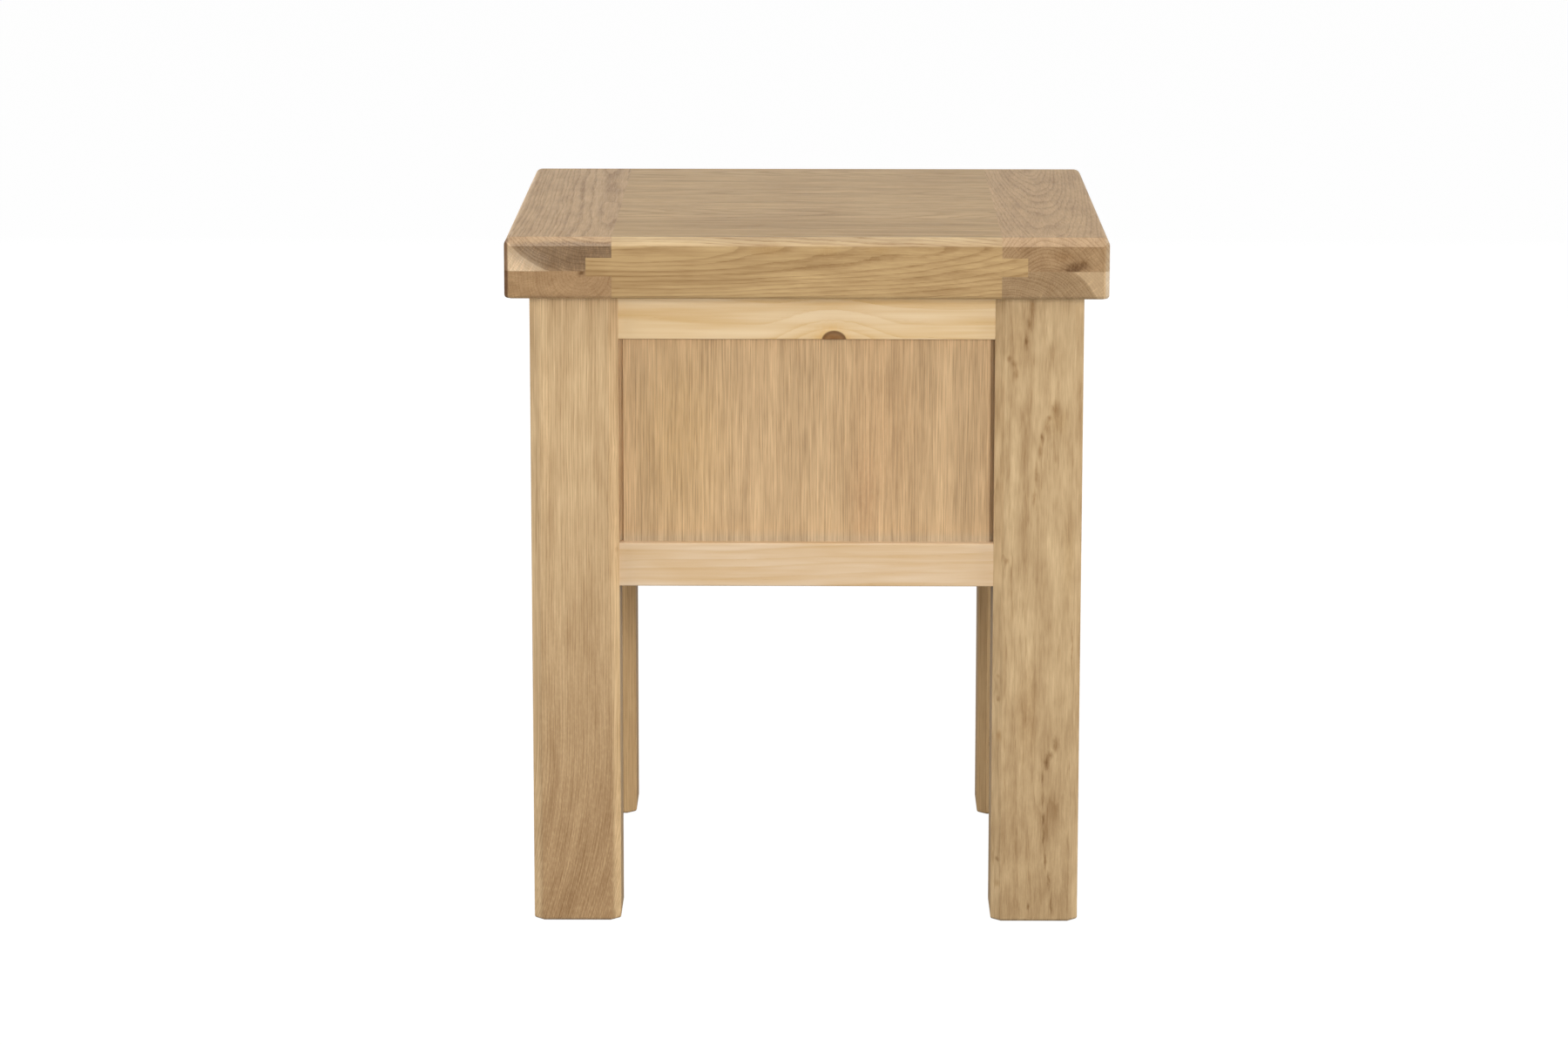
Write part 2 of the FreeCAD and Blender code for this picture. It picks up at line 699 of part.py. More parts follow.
def add_guide_screws(pieces):
    """Screws that hold the guides on the runners."""
    level = RUNNER_HIGH + GUIDE_SIZE
    screws = []
    holes = []
    for x in symmetric(GUIDE_CENTRE_X):
        for y in GUIDE_SCREW_PLACES:
            place = Vector(x, y, level)
            screws.append(aimed(countersunk_screw(GUIDE_SCREW), DOWN, place))
            holes.append(aimed(countersunk_hole(GUIDE_SCREW), DOWN, place))
    holders = ["guide_left", "guide_right", "runner_left", "runner_right"]
    add_screws(pieces, "guide_screws", screws, holes, holders)


def add_bottom_screws(pieces):
    """Screws that come up through the drawer's bottom into its back."""
    middle = DRAWER_END_Y - DRAWER_WALL / 2
    places = [Vector(x, middle, DRAWER_FLOOR[0]) for x in BOTTOM_SCREW_PLACES]
    screws = [aimed(countersunk_screw(BOTTOM_SCREW), UP, place) for place in places]
    holes = [aimed(countersunk_hole(BOTTOM_SCREW), UP, place) for place in places]
    add_screws(pieces, "drawer_bottom_screws", screws, holes, ["drawer_bottom", "drawer_back"])


def add_stop_screws(pieces):
    """Screws that hold the opening stop on the upper front rail."""
    level = (TOP_RAIL[0] + TOP_RAIL[1]) / 2
    places = [Vector(x, OPEN_STOP_BACK_Y, level) for x in STOP_SCREW_PLACES]
    screws = [aimed(countersunk_screw(STOP_SCREW), FORWARD, place) for place in places]
    holes = [aimed(countersunk_hole(STOP_SCREW), FORWARD, place) for place in places]
    add_screws(pieces, "opening_stop_screws", screws, holes, ["opening_stop", "front_top_rail"])


def add_knob_screw(pieces):
    """The screw that comes through the drawer front from inside and holds the knob."""
    _, _, head_height, _ = KNOB_SCREW
    place = Vector(0, DRAWER_FRONT_BACK_Y + head_height, KNOB_HEIGHT)
    screw = aimed(flat_head_screw(KNOB_SCREW), FORWARD, place)
    hole = aimed(shank_hole(KNOB_SCREW), FORWARD, place)
    add_screws(pieces, "knob_screw", [screw], [hole], ["drawer_front", "drawer_knob"])


def add_stub_mortises(pieces):
    """Sockets in the front and back rails for the runners and the kickers."""
    runner_bars = [runner_stubs(), mirrored(runner_stubs())]
    kicker_bars = [kicker_stubs(), mirrored(kicker_stubs())]
    for name in ("front_bottom_rail", "back_bottom_rail"):
        pieces[name] = without(pieces[name], runner_bars)
    for name in ("front_top_rail", "back_top_rail"):
        pieces[name] = without(pieces[name], kicker_bars)


def make_table():
    slab = top_slab()
    pieces = {}
    pieces.update(make_legs())
    pieces.update(make_walls())
    pieces.update(make_top_planks(slab))
    pieces.update(make_top_ends(slab))
    pieces.update(make_drawer_supports())
    pieces.update(make_drawer())
    add_stub_mortises(pieces)
    add_top_screws(pieces)
    add_guide_screws(pieces)
    add_bottom_screws(pieces)
    add_stop_screws(pieces)
    add_knob_screw(pieces)
    return pieces


os.makedirs("parts", exist_ok=True)
for node, shape in make_table().items():
    shape.exportStep(f"parts/{node}.step")
print(f"The drawer opens {DRAWER_TRAVEL:.1f} mm")
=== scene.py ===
import math
from typing import NamedTuple

import bpy
from mathutils import Matrix, Vector

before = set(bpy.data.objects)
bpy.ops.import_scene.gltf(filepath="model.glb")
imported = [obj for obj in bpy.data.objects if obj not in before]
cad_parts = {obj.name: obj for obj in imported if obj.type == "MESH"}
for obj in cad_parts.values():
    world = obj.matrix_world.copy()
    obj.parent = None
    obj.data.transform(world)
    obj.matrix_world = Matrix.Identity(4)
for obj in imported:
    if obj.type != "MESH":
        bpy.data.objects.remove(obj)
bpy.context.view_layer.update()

# The looks of a solid oak side table with one drawer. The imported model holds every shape, so
# this script gives each board its own solid wood, and adds the light, the floor and the camera.
# The table stands on Z = 0 and its drawer opens towards -Y. Lengths are metres, except inside
# the wood, where they are millimetres.

MM_PER_METRE = 1000.0

# Camera, behind the table and a little above it
CAMERA_PLACE = Vector((-0.0078, 4.0209, 1.0630))
CAMERA_AIM = Vector((0.0189, 0.0, 0.2830))
CAMERA_ROLL = math.radians(0.046)
CAMERA_LENS_MM = 113.9
CAMERA_SENSOR_MM = 36.0

# Floor
FLOOR_RADIUS = 60.0
FLOOR_SIDES = 64
FLOOR_DROP = 0.0005
FLOOR_SEEN_PAINT = (0.06, 0.06, 0.06, 1)
FLOOR_SEEN_GLOW = 0.98
FLOOR_BOUNCE = (0.22, 0.22, 0.22, 1)

# How bright the surroundings are, as light and as the camera sees them
WORLD_LIGHT = 0.12
WORLD_SEEN = 1.0

# Wood colours, and how deep the grain's bump is
OAK_LIGHT = (0.60, 0.405, 0.205)
OAK_DARK = (0.42, 0.26, 0.12)
PINE_LIGHT = (0.80, 0.575, 0.32)
PINE_DARK = (0.68, 0.43, 0.18)
SAPWOOD_TINT = (1.5, 1.6, 1.75, 1)
PORE_TINT = (0.72, 0.62, 0.50, 1)
END_GRAIN_TINT = (0.71, 0.69, 0.70, 1)
TOP_TONE = (0.95, 0.95, 0.9)
PANEL_TONE = (1.18, 1.18, 1.26)
PANEL_DARK = (0.41, 0.268, 0.131)
BUMP_STRENGTH = 0.35
BUMP_DISTANCE = 0.0003


# Shader nodes

class Sheet:
    """One node tree, with a short call for each kind of node that this script uses."""

    def __init__(self, tree):
        self.tree = tree

    def add(self, kind, settings=None, values=None):
        """Adds a node with its settings, and feeds its inputs with numbers or other outputs."""
        node = self.tree.nodes.new(kind)
        for name, value in (settings or {}).items():
            setattr(node, name, value)
        for key, value in (values or {}).items():
            self.feed(node.inputs[key], value)
        return node

    def feed(self, socket, value):
        if isinstance(value, bpy.types.NodeSocket):
            self.tree.links.new(value, socket)
        else:
            socket.default_value = value

    def math(self, operation, first, second=0.0):
        node = self.add("ShaderNodeMath", {"operation": operation}, {0: first, 1: second})
        return node.outputs[0]

    def plus(self, first, second):
        return self.math("ADD", first, second)

    def minus(self, first, second):
        return self.math("SUBTRACT", first, second)

    def times(self, first, second):
        return self.math("MULTIPLY", first, second)

    def vector_math(self, operation, first, second):
        node = self.add("ShaderNodeVectorMath", {"operation": operation}, {0: first, 1: second})
        return node.outputs[0]

    def vector(self, x, y, z):
        return self.add("ShaderNodeCombineXYZ", None, {0: x, 1: y, 2: z}).outputs[0]

    def parts(self, vector):
        return self.add("ShaderNodeSeparateXYZ", None, {0: vector}).outputs

    def scaled(self, vector, x, y, z):
        """A vector with its parts divided by x, y and z: the sizes of what a noise then draws."""
        return self.vector_math("MULTIPLY", vector, (1 / x, 1 / y, 1 / z))

    def noise(self, vector, detail=2.0, roughness=0.5):
        """Smooth noise from 0 to 1, about 0.5, with features about one unit across."""
        values = {"Vector": vector, "Scale": 1.0, "Detail": detail, "Roughness": roughness}
        return self.add("ShaderNodeTexNoise", None, values).outputs["Fac"]

    def noise_vector(self, vector):
        """Three such noises as a vector, from -0.5 to 0.5."""
        values = {"Vector": vector, "Scale": 1.0, "Detail": 2.0}
        node = self.add("ShaderNodeTexNoise", None, values)
        return self.vector_math("SUBTRACT", node.outputs["Color"], (0.5, 0.5, 0.5))

    def ramp(self, value, low, high, result_low=0.0, result_high=1.0, curve="SMOOTHSTEP"):
        """A value's range from low to high, mapped to the results and held there beyond it."""
        values = {0: value, 1: low, 2: high, 3: result_low, 4: result_high}
        node = self.add("ShaderNodeMapRange", {"interpolation_type": curve}, values)
        return node.outputs[0]

    def blend(self, share, first, second, how="MIX"):
        """A colour between two colours, or past them where the share is under 0 or over 1."""
        settings = {"data_type": "RGBA", "blend_type": how, "clamp_factor": False}
        return self.add("ShaderNodeMix", settings, {0: share, 6: first, 7: second}).outputs[2]

    def brightened(self, colour, level):
        """A colour multiplied by a number."""
        return self.vector_math("MULTIPLY", colour, self.vector(level, level, level))


def new_group(name, inputs, outputs):
    """An empty node group with these inputs and outputs: a socket's name and its kind."""
    tree = bpy.data.node_groups.new(name, "ShaderNodeTree")
    for socket, kind in inputs.items():
        tree.interface.new_socket(socket, in_out="INPUT", socket_type=kind)
    for socket, kind in outputs.items():
        tree.interface.new_socket(socket, in_out="OUTPUT", socket_type=kind)
    given = tree.nodes.new("NodeGroupInput").outputs
    result = tree.nodes.new("NodeGroupOutput").inputs
    return Sheet(tree), given, result


FLOAT = "NodeSocketFloat"
COLOUR = "NodeSocketColor"
VECTOR = "NodeSocketVector"
WOOD_INPUTS = {
    "Place": VECTOR,
    "Shift": VECTOR,
    "End grain": FLOAT,
    "Ring width": FLOAT,
    "Extra rings": FLOAT,
    "Wander": FLOAT,
    "Ripple": FLOAT,
    "Line length": FLOAT,
    "Light wood": COLOUR,
    "Dark wood": COLOUR,
    "Ring contrast": FLOAT,
    "Pore contrast": FLOAT,
    "Line contrast": FLOAT,
    "Streaks": FLOAT,
    "Mottle": FLOAT,
    "Sapwood": FLOAT,
}
WOOD_OUTPUTS = {"Colour": COLOUR, "Roughness": FLOAT, "Height": FLOAT}


# Solid wood. Inside a board Z runs along the grain and the tree's pith lies on the Z axis, so
# one pattern gives lines and arches on the faces and rings on the ends, as sawn timber does.

# Sizes of the noise that bends the rings, across the grain twice and along it
SLOW_BEND = (60, 60, 420)
QUICK_BEND = (8, 8, 60)

# How much wider or narrower one year's ring is than the next
YEAR_STEP = 0.35
YEAR_SPREAD = 3.0

# The noises drawn out along the grain: their width across it, how many times longer than the
# board's lines the streaks are, their detail, and how much the lines change the gloss
LINE_WIDTH = 1.1
LINE_DETAIL = 3.0
STREAK_WIDTH = 9.0
STREAK_LENGTHS = 4.0
STREAK_DETAIL = 2.0
LONG_NOISE_ROUGHNESS = 0.6
LINE_ROUGHNESS = 0.16

# How wide the change from heartwood to sapwood is, to each side
SAPWOOD_EDGE = 0.8


def ring_pattern(sheet, given):
    """The distance from the pith in rings after slow and quick wandering, the angle round the
    pith, and the same distance in millimetres."""
    place, shift = given["Place"], given["Shift"]
    moved = sheet.vector_math("ADD", place, shift)
    wander = sheet.vector(given["Wander"], given["Wander"], 0.0)
    ripple = sheet.vector(given["Ripple"], given["Ripple"], 0.0)
    slow = sheet.noise_vector(sheet.scaled(moved, *SLOW_BEND))
    quick = sheet.noise_vector(sheet.scaled(moved, *QUICK_BEND))
    slow = sheet.vector_math("MULTIPLY", slow, wander)
    quick = sheet.vector_math("MULTIPLY", quick, ripple)
    bent = sheet.vector_math("ADD", place, sheet.vector_math("ADD", slow, quick))
    x, y, _ = sheet.parts(bent)
    radius = sheet.math("SQRT", sheet.plus(sheet.times(x, x), sheet.times(y, y)))
    rings = sheet.plus(sheet.math("DIVIDE", radius, given["Ring width"]), given["Extra rings"])
    years = sheet.noise(sheet.vector(sheet.times(rings, YEAR_STEP), sheet.parts(shift)[0], 0.0))
    rings = sheet.plus(rings, sheet.times(years, YEAR_SPREAD))
    return rings, sheet.math("ARCTAN2", y, x), radius


def stretched_noise(sheet, moved, width, length, detail):
    """Noise from -0.5 to 0.5 drawn out along the grain."""
    stretched = sheet.vector_math("DIVIDE", moved, sheet.vector(width, width, length))
    return sheet.minus(sheet.noise(stretched, detail, LONG_NOISE_ROUGHNESS), 0.5)


def sapwood_share(sheet, given, radius):
    """0 in the heartwood and 1 in the sapwood."""
    beyond = sheet.minus(radius, given["Sapwood"])
    return sheet.ramp(beyond, -SAPWOOD_EDGE, SAPWOOD_EDGE)


# Oak. Each ring starts with dark early wood, which rises at once, fades out within its share of
# the ring and holds most of the pores. Rays run out from the pith and glint on end grain.
EARLY_SHARE = 0.6
EARLY_RISE = 0.08
EARLY_AVERAGE = 0.35
PORE_SIZE = (0.6, 0.6, 13)
PORE_RANGE = (0.50, 0.70)
PORES_IN_EARLY_WOOD = 0.75
PORES_ANYWHERE = 0.25
MOTTLE_WIDTH = 17.0
MOTTLE_LENGTH = 36.0
MOTTLE_DETAIL = 2.0
RAYS_ROUND_PITH = 90.0
RAY_LENGTH = 16.0
RAY_RANGE = (0.52, 0.72)
RAY_BRIGHTNESS = 0.2
LINE_DEPTH = 3.2
FIGURE_IN_SAPWOOD = 0.35
DEPTH_RANGE = (-0.35, 1.35)
OAK_ROUGHNESS = 0.44
PORE_ROUGHNESS = 0.12
LINE_HEIGHT = 0.25
PORE_DEPTH = 0.8
EARLY_WOOD_DEPTH = 0.15


def make_oak_group():
    """Oak: rings with a dark porous early part, long pores, rays, streaks and a bump height."""
    sheet, given, result = new_group("oak", WOOD_INPUTS, WOOD_OUTPUTS)
    end_grain, pore_contrast = given["End grain"], given["Pore contrast"]
    moved = sheet.vector_math("ADD", given["Place"], given["Shift"])
    rings, angle, radius = ring_pattern(sheet, given)
    phase = sheet.math("FRACT", rings)
    early = sheet.ramp(phase, 0.0, EARLY_SHARE, 1.0, 0.0)
    early = sheet.times(early, sheet.ramp(phase, 0.0, EARLY_RISE))

    pores = sheet.ramp(sheet.noise(sheet.scaled(moved, *PORE_SIZE), detail=1.0), *PORE_RANGE)
    porous = sheet.plus(sheet.times(early, PORES_IN_EARLY_WOOD), PORES_ANYWHERE)
    pores = sheet.times(pores, porous)
    length = given["Line length"]
    lines = stretched_noise(sheet, moved, LINE_WIDTH, length, LINE_DETAIL)
    streak_length = sheet.times(length, STREAK_LENGTHS)
    streaks = stretched_noise(sheet, moved, STREAK_WIDTH, streak_length, STREAK_DETAIL)
    mottle = stretched_noise(sheet, moved, MOTTLE_WIDTH, MOTTLE_LENGTH, MOTTLE_DETAIL)
    ray_turn = sheet.times(angle, RAYS_ROUND_PITH)
    rays = sheet.vector(ray_turn, sheet.math("DIVIDE", radius, RAY_LENGTH), 0.0)
    rays = sheet.ramp(sheet.noise(rays, detail=1.0), *RAY_RANGE)

    depth = sheet.times(sheet.minus(early, EARLY_AVERAGE), given["Ring contrast"])
    line_depth = sheet.times(given["Line contrast"], LINE_DEPTH)
    depth = sheet.plus(depth, sheet.times(lines, line_depth))
    depth = sheet.plus(depth, sheet.times(streaks, given["Streaks"]))
    depth = sheet.plus(depth, sheet.times(mottle, given["Mottle"]))
    sapwood = sapwood_share(sheet, given, radius)
    figure = sheet.ramp(sapwood, 0.0, 1.0, 1.0, FIGURE_IN_SAPWOOD, "LINEAR")
    depth = sheet.plus(sheet.times(depth, figure), 0.5)
    depth = sheet.ramp(depth, *DEPTH_RANGE, *DEPTH_RANGE, "LINEAR")
    colour = sheet.blend(depth, given["Light wood"], given["Dark wood"])
    colour = sheet.blend(sapwood, colour, SAPWOOD_TINT, "MULTIPLY")
    colour = sheet.blend(sheet.times(pores, pore_contrast), colour, PORE_TINT, "MULTIPLY")
    colour = sheet.blend(end_grain, colour, END_GRAIN_TINT, "MULTIPLY")
    glints = sheet.times(rays, sheet.times(end_grain, RAY_BRIGHTNESS))
    colour = sheet.brightened(colour, sheet.plus(1.0, glints))

    rough = sheet.plus(OAK_ROUGHNESS, sheet.times(lines, LINE_ROUGHNESS))
    rough = sheet.plus(rough, sheet.times(pores, PORE_ROUGHNESS))
    height = sheet.minus(sheet.times(lines, LINE_HEIGHT), sheet.times(pores, PORE_DEPTH))
    height = sheet.minus(height, sheet.times(early, EARLY_WOOD_DEPTH))
    for socket, value in zip(result, (colour, rough, height)):
        sheet.feed(socket, value)
    return sheet.tree


# Pine. Each ring darkens towards its late wood and then ends sharply. Resin canals are thin
# dashes in the late wood.
LATE_POWER = 2.2
LATE_END = 0.86
FIBRE_WIDTH = 1.2
FIBRE_LENGTHS = 2.0
PINE_STREAK_WIDTH = 10.0
CANAL_SIZE = (0.6, 0.6, 7)
CANAL_RANGE = (0.66, 0.74)
CANAL_DEPTH = 0.8
PINE_BASE_DEPTH = 0.25
PINE_ROUGHNESS = 0.46
FIBRE_HEIGHT = 0.3
LATE_WOOD_DEPTH = 0.35


def make_pine_group():
    """Pine: wide pale rings that darken slowly to an orange line, with soft long fibres."""
    sheet, given, result = new_group("pine", WOOD_INPUTS, WOOD_OUTPUTS)
    end_grain = given["End grain"]
    moved = sheet.vector_math("ADD", given["Place"], given["Shift"])
    rings, _, radius = ring_pattern(sheet, given)
    phase = sheet.math("FRACT", rings)
    late = sheet.math("POWER", phase, LATE_POWER)
    late = sheet.times(late, sheet.ramp(phase, 1.0, LATE_END))
    length = given["Line length"]
    fibre_length = sheet.times(length, FIBRE_LENGTHS)
    fibre = stretched_noise(sheet, moved, FIBRE_WIDTH, fibre_length, LINE_DETAIL)
    streak_length = sheet.times(length, STREAK_LENGTHS)
    streaks = stretched_noise(sheet, moved, PINE_STREAK_WIDTH, streak_length, STREAK_DETAIL)
    canals = sheet.noise(sheet.scaled(moved, *CANAL_SIZE), detail=1.0)
    canals = sheet.ramp(canals, *CANAL_RANGE)
    canals = sheet.times(canals, sheet.times(late, given["Pore contrast"]))

    depth = sheet.times(late, given["Ring contrast"])
    depth = sheet.plus(depth, sheet.times(fibre, given["Line contrast"]))
    depth = sheet.plus(depth, sheet.times(streaks, given["Streaks"]))
    depth = sheet.plus(depth, PINE_BASE_DEPTH)
    colour = sheet.blend(depth, given["Light wood"], given["Dark wood"])
    sapwood = sapwood_share(sheet, given, radius)
    colour = sheet.blend(sapwood, colour, SAPWOOD_TINT, "MULTIPLY")
    colour = sheet.blend(sheet.times(canals, CANAL_DEPTH), colour, PORE_TINT, "MULTIPLY")
    colour = sheet.blend(end_grain, colour, END_GRAIN_TINT, "MULTIPLY")

    rough = sheet.plus(PINE_ROUGHNESS, sheet.times(fibre, LINE_ROUGHNESS))
    height = sheet.minus(sheet.times(fibre, FIBRE_HEIGHT), sheet.times(late, LATE_WOOD_DEPTH))
    for socket, value in zip(result, (colour, rough, height)):
        sheet.feed(socket, value)
    return sheet.tree


class Mark(NamedTuple):
    """A patch of other colour in a board, such as a knot, a stain or a streak, and in some boards
    painted light or painted shade, in millimetres.
    """

    place: tuple
    # Half its length along X, Y and Z
    size: tuple
    tint: tuple
    # The share of its size over which it fades out
    soft: float = 1.0
    # How many extra rings bulge round it, as they do round the branch that made a knot
    rings: float = 0.0
    ragged: bool = True


# Half the depth of a crack, and how far each stretch of it reaches sideways and along
CRACK_DEPTH = 12
CRACK_SLANT = 0.3
CRACK_REACH = 0.6


def crack(points, face, half_width, tint):
    """A chain of marks that follows a crack in a face from one (x, z) point to the next."""
    marks = []
    for (x_from, z_from), (x_to, z_to) in zip(points, points[1:]):
        middle = ((x_from + x_to) / 2, face, (z_from + z_to) / 2)
        width = half_width + abs(x_from - x_to) * CRACK_SLANT
        length = half_width + abs(z_from - z_to) * CRACK_REACH
        marks.append(Mark(middle, (width, CRACK_DEPTH, length), tint))
    return tuple(marks)


class Board(NamedTuple):
    """A board as it was sawn from its tree, in millimetres in the table's own frame."""

    # The axis that its grain runs along, and where its pith is on the other two axes, in order
    grain: str
    pith: tuple
    ring_width: float

    # Its pale and dark wood, and what both are multiplied by
    light: tuple
    dark: tuple
    tone: tuple = (1, 1, 1)

    # How far the pith moves sideways for each millimetre along the grain from the middle, and how
    # much more for each square millimetre, on both sides of the middle or only below it
    tilt: tuple = (0.0, 0.0)
    bend: tuple = (0.0, 0.0)
    middle: float = 0.0
    bent_below_only: bool = False

    # How far its rings stray in long waves and in short ones
    wander: float = 14.0
    ripple: float = 1.6

    # How strong each part of its figure is, and how long its fine lines are
    ring_contrast: float = 0.5
    pore_contrast: float = 0.5
    line_contrast: float = 0.5
    line_length: float = 40.0
    streaks: float = 1.1
    mottle: float = 0.5

    # How far from the pith its pale sapwood begins, which in most boards is past their edges
    sapwood: float = 10000.0
    marks: tuple = ()


ACROSS = {"X": (1, 2), "Y": (0, 2), "Z": (0, 1)}
ALONG = {"X": 0, "Y": 1, "Z": 2}

# How squarely a surface faces along the grain where it begins, and where it is all, end grain
END_GRAIN_RANGE = (0.4, 0.95)


def board_place(sheet, board, spot, normal):
    """The place inside the board, in millimetres, with the grain along Z and the pith at zero,
    and how far the surface there is end grain."""
    spot = sheet.parts(spot)
    along = sheet.minus(spot[ALONG[board.grain]], board.middle)
    reach = sheet.math("MINIMUM", along, 0.0) if board.bent_below_only else along
    square = sheet.times(reach, reach)
    across = []
    for side, axis in enumerate(ACROSS[board.grain]):
        offset = sheet.minus(spot[axis], board.pith[side])
        offset = sheet.plus(offset, sheet.times(along, board.tilt[side]))
        across.append(sheet.plus(offset, sheet.times(square, board.bend[side])))
    facing = sheet.math("ABSOLUTE", sheet.parts(normal)[ALONG[board.grain]])
    return sheet.vector(across[0], across[1], along), sheet.ramp(facing, *END_GRAIN_RANGE)


# A mark's ragged edge: the size of its bends, how far they go, and the grit inside it
RAGGED_SIZE = (4, 4, 7)
RAGGED_REACH = (2.4, 2.4, 5)
GRIT_SIZE = (1.2, 1.2, 4)
GRIT_RANGE = (0.3, 0.6)
GRIT_SHARE = (0.65, 1.1)

# How far a mark's extra rings reach, for its size
BULGE_REACH = 3.0


def draw_marks(sheet, marks, spot, seed):
    """The tint and the extra rings that a board's marks give, with ragged edges."""
    tint = (1, 1, 1, 1)
    rings = 0.0
    if not marks:
        return tint, rings
    seeded = sheet.vector_math("ADD", spot, (seed, seed, seed))
    bends = sheet.noise_vector(sheet.scaled(seeded, *RAGGED_SIZE))
    ragged = sheet.vector_math("ADD", spot, sheet.vector_math("MULTIPLY", bends, RAGGED_REACH))
    grit = sheet.noise(sheet.scaled(seeded, *GRIT_SIZE), detail=3.0)
    grit = sheet.ramp(grit, *GRIT_RANGE, *GRIT_SHARE)
    for mark in marks:
        offset = sheet.vector_math("SUBTRACT", ragged if mark.ragged else spot, mark.place)
        offset = sheet.vector_math("MULTIPLY", offset, tuple(1 / size for size in mark.size))
        node = sheet.add("ShaderNodeVectorMath", {"operation": "LENGTH"}, {0: offset})
        distance = node.outputs["Value"]
        share = sheet.ramp(distance, 1.0, 1.0 - mark.soft)
        share = sheet.times(share, grit) if mark.ragged else share
        tint = sheet.blend(share, tint, mark.tint, "MULTIPLY")
        if mark.rings:
            bulge = sheet.ramp(distance, BULGE_REACH, 0.0, 0.0, mark.rings)
            rings = sheet.plus(rings, bulge)
    return tint, rings


def toned(colour, tone):
    """A colour with each part multiplied by the tone's, as a shader takes it."""
    return tuple(part * level for part, level in zip(colour, tone)) + (1,)


def wood_material(name, group, board, shift):
    """A lacquered wood material for one board."""
    material = bpy.data.materials.new(name)
    material.use_nodes = True
    sheet = Sheet(material.node_tree)
    shader = material.node_tree.nodes["Principled BSDF"]
    coordinates = sheet.add("ShaderNodeTexCoord").outputs
    millimetres = (MM_PER_METRE, MM_PER_METRE, MM_PER_METRE)
    spot = sheet.vector_math("MULTIPLY", coordinates["Object"], millimetres)
    place, end_grain = board_place(sheet, board, spot, coordinates["Normal"])
    tint, rings = draw_marks(sheet, board.marks, spot, shift[0])
    wood = sheet.add("ShaderNodeGroup", {"node_tree": group}, {
        "Place": place,
        "Shift": shift,
        "End grain": end_grain,
        "Ring width": board.ring_width,
        "Extra rings": rings,
        "Wander": board.wander,
        "Ripple": board.ripple,
        "Line length": board.line_length,
        "Light wood": toned(board.light, board.tone),
        "Dark wood": toned(board.dark, board.tone),
        "Ring contrast": board.ring_contrast,
        "Pore contrast": board.pore_contrast,
        "Line contrast": board.line_contrast,
        "Streaks": board.streaks,
        "Mottle": board.mottle,
        "Sapwood": board.sapwood,
    }).outputs
    bump = sheet.add("ShaderNodeBump", None, {
        "Strength": BUMP_STRENGTH,
        "Distance": BUMP_DISTANCE,
        "Height": wood["Height"],
    })
    colour = sheet.blend(1.0, wood["Colour"], tint, "MULTIPLY")
    sheet.feed(shader.inputs["Base Color"], colour)
    sheet.feed(shader.inputs["Roughness"], wood["Roughness"])
    sheet.feed(shader.inputs["Normal"], bump.outputs[0])
    return material


def oak_board(grain, pith, ring_width, dark=OAK_DARK, **more):
    return Board(grain, pith, ring_width, OAK_LIGHT, dark, **more)


def pine_board(grain, pith, ring_width=5.0, **more):
    return Board(grain, pith, ring_width, PINE_LIGHT, PINE_DARK, **more)


DARK_KNOT = (0.46, 0.38, 0.31, 1)
BROWN_STAIN = (0.80, 0.73, 0.65, 1)
SMUDGE = (0.70, 0.62, 0.53, 1)
CRACK = (0.62, 0.54, 0.45, 1)
PALE_STREAK = (1.14, 1.15, 1.16, 1)
# Painted light for the pale flat at the top's left back corner
PAINTED_LIGHT_CORNER = (1.06, 1.2, 1.5, 1)
# Painted shade for the dark flat at the top's right back corner
PAINTED_SHADE_CORNER = (0.36, 0.30, 0.28, 1)


def corner_mark(x, tint):
    """A tint on one of the small flats at the top's back corners: painted light on the left end's
    flat and painted shade on the right end's.
    """
    return Mark((x, 221, 525), (4.2, 6, 60), tint, soft=0.5, ragged=False)


# How far back the faces that carry marks lie, in millimetres
LEG_FACE = 206
RAIL_FACE = 198
PANEL_FACE = 190
TOP_FACE = 225

# The marks on the back of the table. The right leg's first mark and the left leg's last one are
# painted shade: they darken the leg slowly towards its foot, where less light reaches.
LEG_BACK_RIGHT_MARKS_AND_SHADE = (
    # Painted shade, darker towards the foot
    Mark((181, LEG_FACE, -60), (500, 4, 480), (0.65, 0.57, 0.51, 1)),
    Mark((203.5, LEG_FACE, 390), (5, 30, 110), PALE_STREAK),
    Mark((148, LEG_FACE, 120), (5, 30, 330), (1.10, 1.09, 1.05, 1)),
    Mark((150, LEG_FACE, 380), (3, 14, 5), PALE_STREAK, rings=0.6),
    Mark((150, LEG_FACE, 323), (3, 14, 5), PALE_STREAK, rings=0.6),
    Mark((149, LEG_FACE, 300), (2, 14, 4), BROWN_STAIN, rings=0.4),
)

